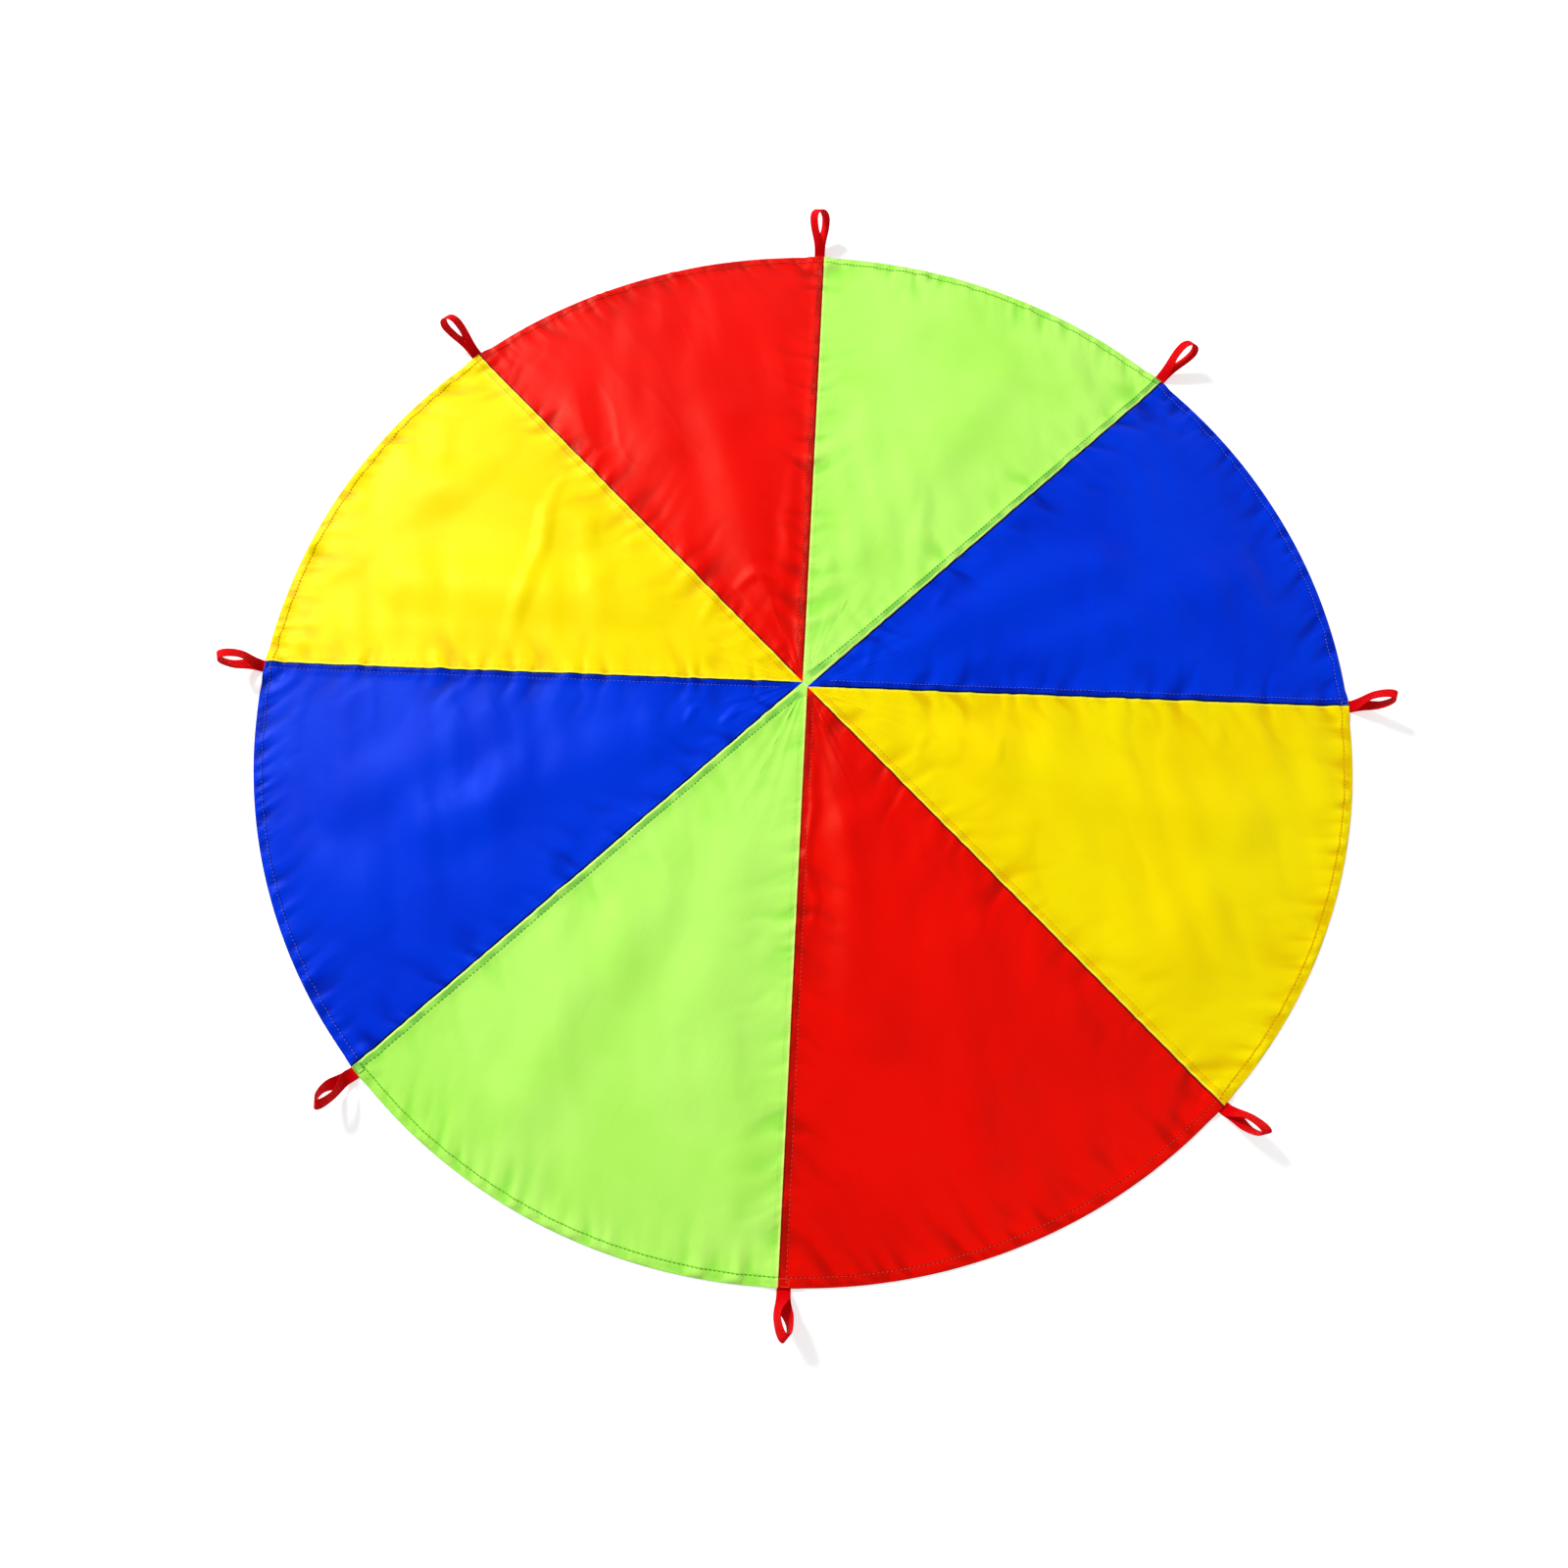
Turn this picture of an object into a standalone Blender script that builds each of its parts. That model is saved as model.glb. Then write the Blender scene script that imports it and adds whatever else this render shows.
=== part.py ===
"""Play parachute: eight sewn gores in a flat round canopy, with a webbing handle at the end of each seam.

Metres, +Z up. The canopy lies on the floor plane z = 0 with its centre at the origin. The first seam runs
along +Y, and the gores and handles are counted clockwise from it, seen from above.
"""

import math

import bmesh
import bpy
from mathutils import Matrix, Vector

# Canopy
CANOPY_RADIUS = 0.915
GORE_COLOURS = ("green", "blue", "yellow", "red", "green", "blue", "yellow", "red")
GORES = len(GORE_COLOURS)
GORE_ANGLE = 2 * math.pi / GORES

# Layers: the cloth is drawn thicker than the real one, which is about 0.1 mm
CLOTH = 0.0008
LAYER_GAP = 0.0003
PANEL_GAP = 0.0003
LAP_LIFT = CLOTH + LAYER_GAP

# Hem: the cloth turns under at the rim and runs back beneath itself
HEM_WIDTH = 0.014
HEM_MARGIN = 0.002
HEM_RAMP = 0.010

# Seams: each gore's flange runs under the gore before it
SEAM_ALLOWANCE = 0.013
SEAM_RAMP = 0.007
SEAM_REST = 0.013
FLANGE_START = 0.060
FLANGE_END_MARGIN = 0.040

# Main folds of the laid cloth
FOLD_HEIGHT = 0.0085
FOLD_WIDTH = 0.085
FOLD_FLAT_CUT = 0.0005
FOLD_SEAM_FADE = 0.075
FOLD_HEM_FADE = 0.090

# Webbing of the handles
WEBBING_WIDTH = 0.020
WEBBING = 0.0012
TAB_LENGTH = 0.016
TAB_OVERHANG = 0.0004
TAB_STACK = 2 * WEBBING + LAYER_GAP
TAB_MARGIN = 0.006
TAB_LIFT_REACH = 0.016
HINGE_GAP = 0.0003
HINGE_RADIUS = CANOPY_RADIUS + TAB_OVERHANG + HINGE_GAP + TAB_STACK / 2
HINGE_HEIGHT = TAB_STACK / 2

# Handle loop: a teardrop of webbing that starts flat and rolls on to its edge
LOOP_LENGTH = 0.080
LOOP_OPENING = 0.025
LOOP_ROLL_LENGTH = 0.050

# Grid counts
MIDDLE_COLUMNS = 6
STRAND_STEPS = 7
TIP_STEPS = 6
FOLD_STEPS = 4
WEBBING_COLUMNS = 3
MERGE_DISTANCE = 0.00001

# Columns beside a gore's seams come no closer to its middle than these shares of its angle
FIRST_LIMIT_SHARES = (0.29, 0.36)
LAST_LIMIT_SHARES = (0.29, 0.45, 0.53)

# Rows of a gore between its flange's start and its hem, as shares of the canopy's radius
ROW_SHARES = (0.13, 0.20, 0.28, 0.36, 0.44, 0.52, 0.60, 0.68, 0.76, 0.84, 0.90)

# Folds of each gore: radius share and angle share of one end, then of the other, then the height share
FOLD_SHARES = (
    ((0.30, 0.35, 0.80, 0.62, 0.55), (0.55, 0.20, 0.86, 0.28, 0.35)),
    ((0.20, 0.30, 0.62, 0.42, 0.90), (0.45, 0.75, 0.85, 0.60, 0.70)),
    ((0.30, 0.45, 0.80, 0.38, 1.00), (0.50, 0.72, 0.82, 0.80, 0.60)),
    ((0.18, 0.60, 0.62, 0.72, 0.80), (0.55, 0.35, 0.86, 0.50, 0.70)),
    ((0.35, 0.40, 0.72, 0.25, 0.60), (0.50, 0.70, 0.86, 0.66, 0.70)),
    ((0.25, 0.50, 0.70, 0.45, 0.60), (0.62, 0.75, 0.85, 0.60, 0.45)),
    ((0.35, 0.60, 0.78, 0.30, 0.90), (0.55, 0.80, 0.85, 0.62, 0.80)),
    ((0.20, 0.40, 0.60, 0.60, 0.80), (0.60, 0.30, 0.86, 0.45, 0.50)),
)

# Each handle: its place beside the seam as a share of the webbing's width, counted anticlockwise, then
# in degrees how far it rises from the floor, leans anticlockwise, and rolls, its upper strand leaving
# anticlockwise where the roll is positive
HANDLE_SHARES = (0.45, 0.30, 0.02, -0.08, 0.42, 0.43, 0.40, 0.13)
HANDLE_RISES = (47.0, 40.0, 54.0, 52.0, 46.0, 46.0, 52.0, 42.0)
HANDLE_LEANS = (2.0, -4.0, -1.0, 2.5, 4.0, 10.0, 6.0, 5.0)
HANDLE_ROLLS = (42.0, 35.0, 34.0, 41.0, -65.0, 68.0, -35.0, -34.0)

# The soft loops don't lie alike: each one's length and opening as shares of the named ones, and how far
# along its length it is widest
LENGTH_SHARES = (1.04, 1.04, 0.94, 0.91, 0.88, 0.89, 0.91, 1.04)
OPENING_SHARES = (1.32, 1.20, 0.86, 0.72, 0.74, 0.80, 0.92, 1.20)
WIDEST_SHARES = (0.80, 0.80, 0.60, 0.60, 0.58, 0.64, 0.60, 0.80)

# Colours as seen, red, green and blue from 0 to 1
COLOURS = {
    "green": (0.60, 0.98, 0.34),
    "blue": (0.01, 0.16, 0.85),
    "yellow": (1.00, 0.88, 0.01),
    "red": (0.93, 0.08, 0.03),
    "webbing": (0.78, 0.01, 0.03),
}
CLOTH_ROUGHNESS = 0.45
WEBBING_ROUGHNESS = 0.75


def clear_scene():
    for thing in list(bpy.data.objects):
        bpy.data.objects.remove(thing, do_unlink=True)


def material(name, colour, roughness):
    linear = [((value + 0.055) / 1.055) ** 2.4 if value > 0.04045 else value / 12.92 for value in colour]
    found = bpy.data.materials.new(name)
    found.use_nodes = True
    shader = found.node_tree.nodes["Principled BSDF"]
    shader.inputs["Base Color"].default_value = (*linear, 1.0)
    shader.inputs["Roughness"].default_value = roughness
    shader.inputs["Metallic"].default_value = 0.0
    return found


def smoothstep(value):
    share = min(max(value, 0.0), 1.0)
    return share * share * (3 - 2 * share)


def outward(index):
    """Direction from the centre along a seam."""
    angle = index * GORE_ANGLE
    return Vector((math.sin(angle), math.cos(angle), 0))


def anticlockwise(index):
    """Direction along the rim at a seam's end."""
    angle = index * GORE_ANGLE
    return Vector((-math.cos(angle), math.sin(angle), 0))


def handle_offset(index):
    return HANDLE_SHARES[index] * WEBBING_WIDTH


def tab_lift(place):
    """How far the handle tabs lift the cloth above the floor at a place of the canopy."""
    lift = 0.0
    for index in range(GORES):
        along = place.dot(outward(index))
        aside = place.dot(anticlockwise(index)) - handle_offset(index)
        short = max(CANOPY_RADIUS - TAB_LENGTH - TAB_MARGIN - along, 0)
        wide = max(abs(aside) - WEBBING_WIDTH / 2 - TAB_MARGIN, 0)
        share = 1 - smoothstep(math.hypot(short, wide) / TAB_LIFT_REACH)
        lift = max(lift, share * (TAB_STACK + LAYER_GAP))
    return lift


def polar(radius, angle):
    """A place in a gore's own frame: the angle runs clockwise from its first seam."""
    return Vector((radius * math.sin(angle), radius * math.cos(angle), 0))


def segment_distance(place, start, end):
    run = end - start
    share = min(max((place - start).dot(run) / run.length_squared, 0), 1)
    return (place - start - run * share).length


def fold_height(index, radius, angle):
    """Height of a gore's soft folds, cut flat where they come down to the floor."""
    place = polar(radius, angle)
    height = -FOLD_FLAT_CUT
    for near_radius, near_angle, far_radius, far_angle, share in FOLD_SHARES[index]:
        start = polar(near_radius * CANOPY_RADIUS, near_angle * GORE_ANGLE)
        end = polar(far_radius * CANOPY_RADIUS, far_angle * GORE_ANGLE)
        away = segment_distance(place, start, end) / FOLD_WIDTH
        height += share * FOLD_HEIGHT * (1 - smoothstep(away))
    to_seam = min(radius * math.sin(angle), radius * math.sin(GORE_ANGLE - angle)) - SEAM_REST
    to_hem = CANOPY_RADIUS - FLANGE_END_MARGIN - radius
    fade = smoothstep(to_seam / FOLD_SEAM_FADE) * smoothstep(to_hem / FOLD_HEM_FADE)
    return max(height, 0) * fade


def lap_height(radius, to_last_seam):
    """Rise of a gore over the next gore's flange and over its own hem."""
    lap = 1 - max(to_last_seam - SEAM_ALLOWANCE, 0) / SEAM_RAMP
    start = (radius - FLANGE_START / 2) / (FLANGE_START / 2)
    hem = 1 - (CANOPY_RADIUS - HEM_WIDTH - HEM_MARGIN - radius) / HEM_RAMP
    share = max(min(lap, start), hem)
    return LAP_LIFT * min(max(share, 0), 1)


def column_angles(radius):
    """Angles of a gore's columns at a radius: close to the seams by distance, evenly between them."""
    edge = math.asin(min(PANEL_GAP / 2 / radius, 1))
    edge = min(edge, GORE_ANGLE / 2)
    room = GORE_ANGLE - 2 * edge
    first_places = (SEAM_ALLOWANCE, SEAM_ALLOWANCE + SEAM_REST)
    last_places = (SEAM_ALLOWANCE, SEAM_ALLOWANCE + SEAM_RAMP, 2 * SEAM_ALLOWANCE + SEAM_RAMP)
    first = [edge]
    for place, share in zip(first_places, FIRST_LIMIT_SHARES):
        first.append(min(math.asin(min(place / radius, 1)), edge + share * room))
    last = [GORE_ANGLE - edge]
    for place, share in zip(last_places, LAST_LIMIT_SHARES):
        last.append(GORE_ANGLE - min(math.asin(min(place / radius, 1)), edge + share * room))
    last.reverse()
    span = last[0] - first[-1]
    middle = [first[-1] + span * (count + 1) / (MIDDLE_COLUMNS + 1) for count in range(MIDDLE_COLUMNS)]
    return first + middle + last


def gore_rows():
    """Radius and height of each row of the sheet, out over the top and back inside the hem.

    The sheet is the lower face of the top layer and the upper face of the hem's turned layer. A height
    of None takes the lap's height.
    """
    apex = PANEL_GAP / 2 / math.sin(GORE_ANGLE / 2)
    rows = [(apex, None), (FLANGE_START / 2, None), (FLANGE_START, None)]
    rows += [(share * CANOPY_RADIUS, None) for share in ROW_SHARES]
    rows.append((CANOPY_RADIUS - FLANGE_END_MARGIN, None))
    rows.append((CANOPY_RADIUS - HEM_WIDTH - HEM_MARGIN - HEM_RAMP, None))
    rows.append((CANOPY_RADIUS - HEM_WIDTH - HEM_MARGIN, None))
    turn = LAYER_GAP / 2
    for step in range(FOLD_STEPS + 1):
        angle = math.pi * step / FOLD_STEPS
        rows.append((CANOPY_RADIUS - CLOTH - turn + turn * math.sin(angle), CLOTH + turn + turn * math.cos(angle)))
    rows.append((CANOPY_RADIUS - HEM_WIDTH, CLOTH))
    return rows


def gore_point(index, radius, angle, height):
    to_last_seam = radius * math.sin(GORE_ANGLE - angle)
    level = lap_height(radius, to_last_seam) if height is None else height
    place = polar(radius, angle)
    lift = tab_lift(Matrix.Rotation(-index * GORE_ANGLE, 3, "Z") @ place)
    fold = fold_height(index, radius, angle) if height is None else 0.0
    return place + Vector((0, 0, level + lift + fold))


def add_flange(mesh, index, edge_verts, rows):
    """The strip along the first seam that runs under the gore before this one."""
    outer = CANOPY_RADIUS - FLANGE_END_MARGIN
    held = []
    for vert, (radius, height) in zip(edge_verts, rows):
        if height is None and FLANGE_START <= radius <= outer:
            held.append(vert)
    seam = [mesh.edges.get(pair) for pair in zip(held, held[1:])]
    grown = bmesh.ops.extrude_edge_only(mesh, edges=seam)["geom"]
    new_verts = [item for item in grown if isinstance(item, bmesh.types.BMVert)]
    for vert in new_verts:
        radius = vert.co.to_2d().length
        angle = -math.asin(SEAM_ALLOWANCE / radius)
        vert.co = gore_point(index, radius, angle, 0.0)
    for face in (item for item in grown if isinstance(item, bmesh.types.BMFace)):
        face.normal_update()
        if face.normal.z < 0:
            face.normal_flip()


def gore_mesh(name, index):
    rows = gore_rows()
    columns = len(column_angles(CANOPY_RADIUS))
    mesh = bmesh.new()
    bmesh.ops.create_grid(mesh, x_segments=columns - 1, y_segments=len(rows) - 1, size=1)
    edge_verts = [None] * len(rows)
    for vert in mesh.verts:
        column = round((vert.co.x + 1) / 2 * (columns - 1))
        row = round((vert.co.y + 1) / 2 * (len(rows) - 1))
        radius, height = rows[row]
        vert.co = gore_point(index, radius, column_angles(radius)[column], height)
        if column == 0:
            edge_verts[row] = vert
    add_flange(mesh, index, edge_verts, rows)
    bmesh.ops.remove_doubles(mesh, verts=mesh.verts, dist=MERGE_DISTANCE)
    data = bpy.data.meshes.new(name)
    mesh.to_mesh(data)
    mesh.free()
    return data


def strip_mesh(name, path, closed):
    """A band of webbing along a path: each step gives the band's middle and its direction across."""
    mesh = bmesh.new()
    steps = len(path) if closed else len(path) - 1
    bmesh.ops.create_grid(mesh, x_segments=steps, y_segments=WEBBING_COLUMNS - 1, size=1)
    for vert in mesh.verts:
        step = round((vert.co.x + 1) / 2 * steps) % len(path)
        middle, across = path[step]
        vert.co = middle + across * (vert.co.y * WEBBING_WIDTH / 2)
    bmesh.ops.remove_doubles(mesh, verts=mesh.verts, dist=MERGE_DISTANCE)
    data = bpy.data.meshes.new(name)
    mesh.to_mesh(data)
    mesh.free()
    return data


def loop_outline(index):
    """Inner face of the folded strip before it rolls: distance from the hinge and from the middle plane."""
    length = LENGTH_SHARES[index] * LOOP_LENGTH
    widest = WIDEST_SHARES[index] * length
    half_opening = OPENING_SHARES[index] * LOOP_OPENING / 2
    root = LAYER_GAP / 2
    reach = half_opening - root
    upper = []
    for step in range(STRAND_STEPS):
        share = (step + 1) / (STRAND_STEPS + 1)
        upper.append((share * widest, root + reach * smoothstep(share)))
    tip = []
    for step in range(TIP_STEPS + 1):
        angle = math.pi * (0.5 - step / TIP_STEPS)
        tip.append((widest + (length - widest) * math.cos(angle), half_opening * math.sin(angle)))
    lower = [(along, -apart) for along, apart in reversed(upper)]
    knuckle = []
    for step in range(FOLD_STEPS + 1):
        angle = math.pi * (0.5 + step / FOLD_STEPS)
        knuckle.append((root * math.cos(angle), -root * math.sin(angle)))
    return upper + tip + lower + knuckle


def loop_path(index):
    """The band of one handle in its hinge's frame: X out, Y anticlockwise along the rim."""
    length = LENGTH_SHARES[index] * LOOP_LENGTH
    path = []
    for along, apart in loop_outline(index):
        roll = math.radians(HANDLE_ROLLS[index]) * smoothstep(along / LOOP_ROLL_LENGTH)
        lean = math.tan(math.radians(HANDLE_LEANS[index])) * along * abs(along) / length
        middle = Vector((along, apart * math.sin(roll) + lean, apart * math.cos(roll)))
        across = Vector((0, math.cos(roll), -math.sin(roll)))
        path.append((middle, across))
    return path


def tab_path():
    """The sewn end of a handle in the hinge's frame: out below, round the sealed end and back above."""
    root = LAYER_GAP / 2
    outer = -HINGE_GAP - TAB_STACK / 2
    inner = outer - TAB_OVERHANG - TAB_LENGTH + WEBBING + root
    path = [(outer, -root)]
    for step in range(FOLD_STEPS + 1):
        angle = math.pi * (0.5 + step / FOLD_STEPS)
        path.append((inner + root * math.cos(angle), -root * math.sin(angle)))
    path.append((outer, root))
    return [(Vector((along, 0, level)), Vector((0, 1, 0))) for along, level in path]


def add_object(name, data, thickness, surface, collection):
    thing = bpy.data.objects.new(name, data)
    data.materials.append(surface)
    collection.objects.link(thing)
    shell = thing.modifiers.new("thickness", "SOLIDIFY")
    shell.thickness = thickness
    shell.offset = 1
    data.shade_smooth()
    data.set_sharp_from_angle(angle=math.radians(50))
    return thing


def add_gore(index, surface, collection):
    name = f"gore_{index + 1}_{GORE_COLOURS[index]}"
    gore = add_object(name, gore_mesh(name, index), CLOTH, surface, collection)
    gore.rotation_euler.z = -index * GORE_ANGLE
    return gore


def add_hinge(index, collection):
    """An empty on the line where the webbing leaves the hem: its X points out and its Y along the rim."""
    hinge = bpy.data.objects.new(f"handle_hinge_{index + 1}", None)
    hinge.empty_display_size = WEBBING_WIDTH
    hinge.location = outward(index) * HINGE_RADIUS + anticlockwise(index) * handle_offset(index)
    hinge.location.z = HINGE_HEIGHT
    hinge.rotation_euler.z = math.pi / 2 - index * GORE_ANGLE
    collection.objects.link(hinge)
    return hinge


def add_handle(index, surface, collection):
    hinge = add_hinge(index, collection)
    tab_name = f"handle_tab_{index + 1}"
    tab = add_object(tab_name, strip_mesh(tab_name, tab_path(), False), WEBBING, surface, collection)
    tab.parent = hinge
    loop_name = f"handle_loop_{index + 1}"
    loop = add_object(loop_name, strip_mesh(loop_name, loop_path(index), True), WEBBING, surface, collection)
    loop.parent = hinge
    loop.rotation_euler.y = -math.radians(HANDLE_RISES[index])


def main():
    clear_scene()
    collection = bpy.data.collections.new("play_parachute")
    bpy.context.scene.collection.children.link(collection)
    cloths = {name: material(f"{name}_cloth", COLOURS[name], CLOTH_ROUGHNESS) for name in GORE_COLOURS[:GORES // 2]}
    webbing = material("red_webbing", COLOURS["webbing"], WEBBING_ROUGHNESS)
    for index in range(GORES):
        add_gore(index, cloths[GORE_COLOURS[index]], collection)
    for index in range(GORES):
        add_handle(index, webbing, collection)


main()
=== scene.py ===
import math

import bpy
import numpy as np
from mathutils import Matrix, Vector


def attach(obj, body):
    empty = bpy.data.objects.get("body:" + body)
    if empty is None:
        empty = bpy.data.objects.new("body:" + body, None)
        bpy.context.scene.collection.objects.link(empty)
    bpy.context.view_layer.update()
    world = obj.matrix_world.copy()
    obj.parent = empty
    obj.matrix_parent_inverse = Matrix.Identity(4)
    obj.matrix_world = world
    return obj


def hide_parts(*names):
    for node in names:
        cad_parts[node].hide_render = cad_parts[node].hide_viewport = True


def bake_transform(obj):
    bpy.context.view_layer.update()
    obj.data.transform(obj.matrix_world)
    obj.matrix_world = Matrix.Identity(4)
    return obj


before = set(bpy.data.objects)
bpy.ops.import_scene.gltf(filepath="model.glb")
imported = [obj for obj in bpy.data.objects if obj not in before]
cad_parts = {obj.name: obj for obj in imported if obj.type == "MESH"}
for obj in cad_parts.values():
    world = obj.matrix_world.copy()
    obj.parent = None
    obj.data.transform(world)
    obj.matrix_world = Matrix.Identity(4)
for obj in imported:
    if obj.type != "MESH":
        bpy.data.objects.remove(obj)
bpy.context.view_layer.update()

# Play parachute: eight satin gores laid out flat, with a webbing handle at the end of each seam.
# Metres, the floor at z = 0. Gores and handles are counted clockwise from the seam along +Y.

bpy.ops.object.select_all(action="DESELECT")

gores = ("green", "blue", "yellow", "red", "green", "blue", "yellow", "red")
goreAngle = 2 * math.pi / len(gores)


# small helpers

def linear(colour):
    return [((v + 0.055) / 1.055) ** 2.4 if v > 0.04045 else v / 12.92 for v in colour]


def smooth(value):
    share = np.clip(value, 0.0, 1.0)
    return share * share * (3 - 2 * share)


def pick(thing):     # leaves one object selected and active
    bpy.ops.object.select_all(action="DESELECT")
    thing.select_set(True)
    bpy.context.view_layer.objects.active = thing


def addModifier(thing, kind, **settings):     # added, set and applied
    pick(thing)
    bpy.ops.object.modifier_add(type=kind)
    modifier = thing.modifiers[-1]
    for name, value in settings.items():
        setattr(modifier, name, value)
    bpy.ops.object.modifier_apply(modifier=modifier.name)


def meshObject(name, points, faces):
    data = bpy.data.meshes.new(name)
    data.from_pydata(points, [], faces)
    thing = bpy.data.objects.new(name, data)
    bpy.context.scene.collection.objects.link(thing)
    return thing


def addFloats(thing, name, values):     # one number per point, for the material
    attribute = thing.data.attributes.new(name, "FLOAT", "POINT")
    attribute.data.foreach_set("value", np.asarray(values, np.float32))


def addFlatMap(thing, flat):     # UV map from each point's place on the flat cut
    layer = thing.data.uv_layers.new(name="cut")
    corners = np.empty(len(thing.data.loops), np.int32)
    thing.data.loops.foreach_get("vertex_index", corners)
    layer.data.foreach_set("uv", np.asarray(flat, np.float32)[corners].ravel())


def softNoise(x, y, seed):     # smooth noise from about -1 to 1, one bump per unit
    shuffled = np.random.default_rng(seed).permutation(256)
    column, row = np.floor(x).astype(int), np.floor(y).astype(int)
    u, v = x - column, y - row

    def corner(i, j):
        turn = shuffled[(shuffled[(column + i) & 255] + row + j) & 255] * (2 * math.pi / 256)
        return np.cos(turn) * (u - i) + np.sin(turn) * (v - j)

    easeU, easeV = u * u * u * (u * (u * 6 - 15) + 10), v * v * v * (v * (v * 6 - 15) + 10)
    near = corner(0, 0) + easeU * (corner(1, 0) - corner(0, 0))
    far = corner(0, 1) + easeU * (corner(1, 1) - corner(0, 1))
    return (near + easeV * (far - near)) * 1.5


def lineDistance(x, y, path):     # distance to a line of several points, and the share of the line reached
    nearest, reached = np.full(np.shape(x), 9.0), np.zeros(np.shape(x))
    for part, ((ax, ay), (bx, by)) in enumerate(zip(path, path[1:])):
        runX, runY = bx - ax, by - ay
        share = np.clip(((x - ax) * runX + (y - ay) * runY) / (runX * runX + runY * runY), 0, 1)
        away = np.hypot(x - ax - share * runX, y - ay - share * runY)
        reached = np.where(away < nearest, (part + share) / (len(path) - 1), reached)
        nearest = np.minimum(nearest, away)
    return nearest, reached


# material helpers: each adds a node and gives its output

def addNode(tree, kind, place, **values):
    node = tree.nodes.new(kind)
    node.location = place
    for name, value in values.items():
        setattr(node, name, value)
    return node


def fill(tree, socket, value):     # a link or a plain value
    if hasattr(value, "is_output"):
        tree.links.new(value, socket)
    else:
        socket.default_value = value


def newGroup(name, sockets):     # sockets: (name, in or out, kind)
    tree = bpy.data.node_groups.new(name, "ShaderNodeTree")
    for label, way, kind in sockets:
        tree.interface.new_socket(name=label, in_out=way, socket_type="NodeSocket" + kind)
    return tree, addNode(tree, "NodeGroupInput", (-1400, 0)), addNode(tree, "NodeGroupOutput", (1400, 0))


def mixColours(tree, place, share, first, second):
    node = addNode(tree, "ShaderNodeMix", place, data_type="RGBA")
    for label, value in (("Factor", share), ("A", first), ("B", second)):
        fill(tree, node.inputs[label], value)
    return node.outputs["Result"]


def ramped(tree, place, value, low, high, toLow=0.0, toHigh=1.0, shape="SMOOTHSTEP"):
    node = addNode(tree, "ShaderNodeMapRange", place, interpolation_type=shape)
    tree.links.new(value, node.inputs["Value"])
    node.inputs["From Min"].default_value, node.inputs["From Max"].default_value = low, high
    node.inputs["To Min"].default_value, node.inputs["To Max"].default_value = toLow, toHigh
    return node.outputs["Result"]


def sums(tree, place, operation, first, second):
    node = addNode(tree, "ShaderNodeMath", place, operation=operation)
    fill(tree, node.inputs[0], first)
    fill(tree, node.inputs[1], second)
    return node.outputs[0]


def noise(tree, place, source, scale, detail=2.0):
    node = addNode(tree, "ShaderNodeTexNoise", place)
    node.inputs["Scale"].default_value, node.inputs["Detail"].default_value = scale, detail
    tree.links.new(source, node.inputs["Vector"])
    return node.outputs["Fac"]


def product(tree, place, *factors):
    value = factors[0]
    for step, factor in enumerate(factors[1:]):
        value = sums(tree, (place[0] + 150 * step, place[1]), "MULTIPLY", value, factor)
    return value


def between(tree, place, value, start, end):     # 1 between two soft limits, else 0
    on = ramped(tree, (place[0] - 300, place[1] + 100), value, *start)
    off = ramped(tree, (place[0] - 300, place[1] - 100), value, *end, 1.0, 0.0)
    return sums(tree, place, "MULTIPLY", on, off)


# camera, floor and light

stage = {
    "cameraPlace": (0.01309, -0.63946, 1.49869),
    "cameraTurn": (17.83, -0.387, 2.428),     # degrees
    "lens": 22.02,
    "shift": (-0.011875, -0.006875),
    "floorSize": 14.0,
    "floorDrop": 0.0002,
    "floorColour": (0.93, 0.93, 0.93),
    "floorRoughness": 0.9,
    "floorGlow": (0.52, 1.0),     # near and far; seen by the camera only, so the background is white
    "glowReach": (1.4, 3.2),     # distances from the middle
    "worldLight": 0.33,
    "keyPlace": (-3.9, 3.2, 4.4),
    "keySize": 1.6,
    "keyPower": 405.0,
    "fillPlace": (1.6, -1.2, 2.6),
    "fillSize": 2.6,
    "fillPower": 11.0,
}


def placeCamera():
    turn = [math.radians(v) for v in stage["cameraTurn"]]
    bpy.ops.object.camera_add(location=stage["cameraPlace"], rotation=turn)
    view = bpy.context.object
    view.name = "camera"
    view.data.sensor_width = 36
    view.data.lens = stage["lens"]
    view.data.shift_x, view.data.shift_y = stage["shift"]
    view.data.clip_start = 0.05
    bpy.context.scene.camera = view


def whiteForCamera(tree, place):     # 1 for rays that see the background
    path = addNode(tree, "ShaderNodeLightPath", place)
    camera, glossy, clear = (path.outputs[f"Is {kind} Ray"] for kind in ("Camera", "Glossy", "Transmission"))
    seen = sums(tree, (place[0] + 180, place[1]), "MAXIMUM", camera, glossy)
    return sums(tree, (place[0] + 360, place[1]), "MAXIMUM", seen, clear)


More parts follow.
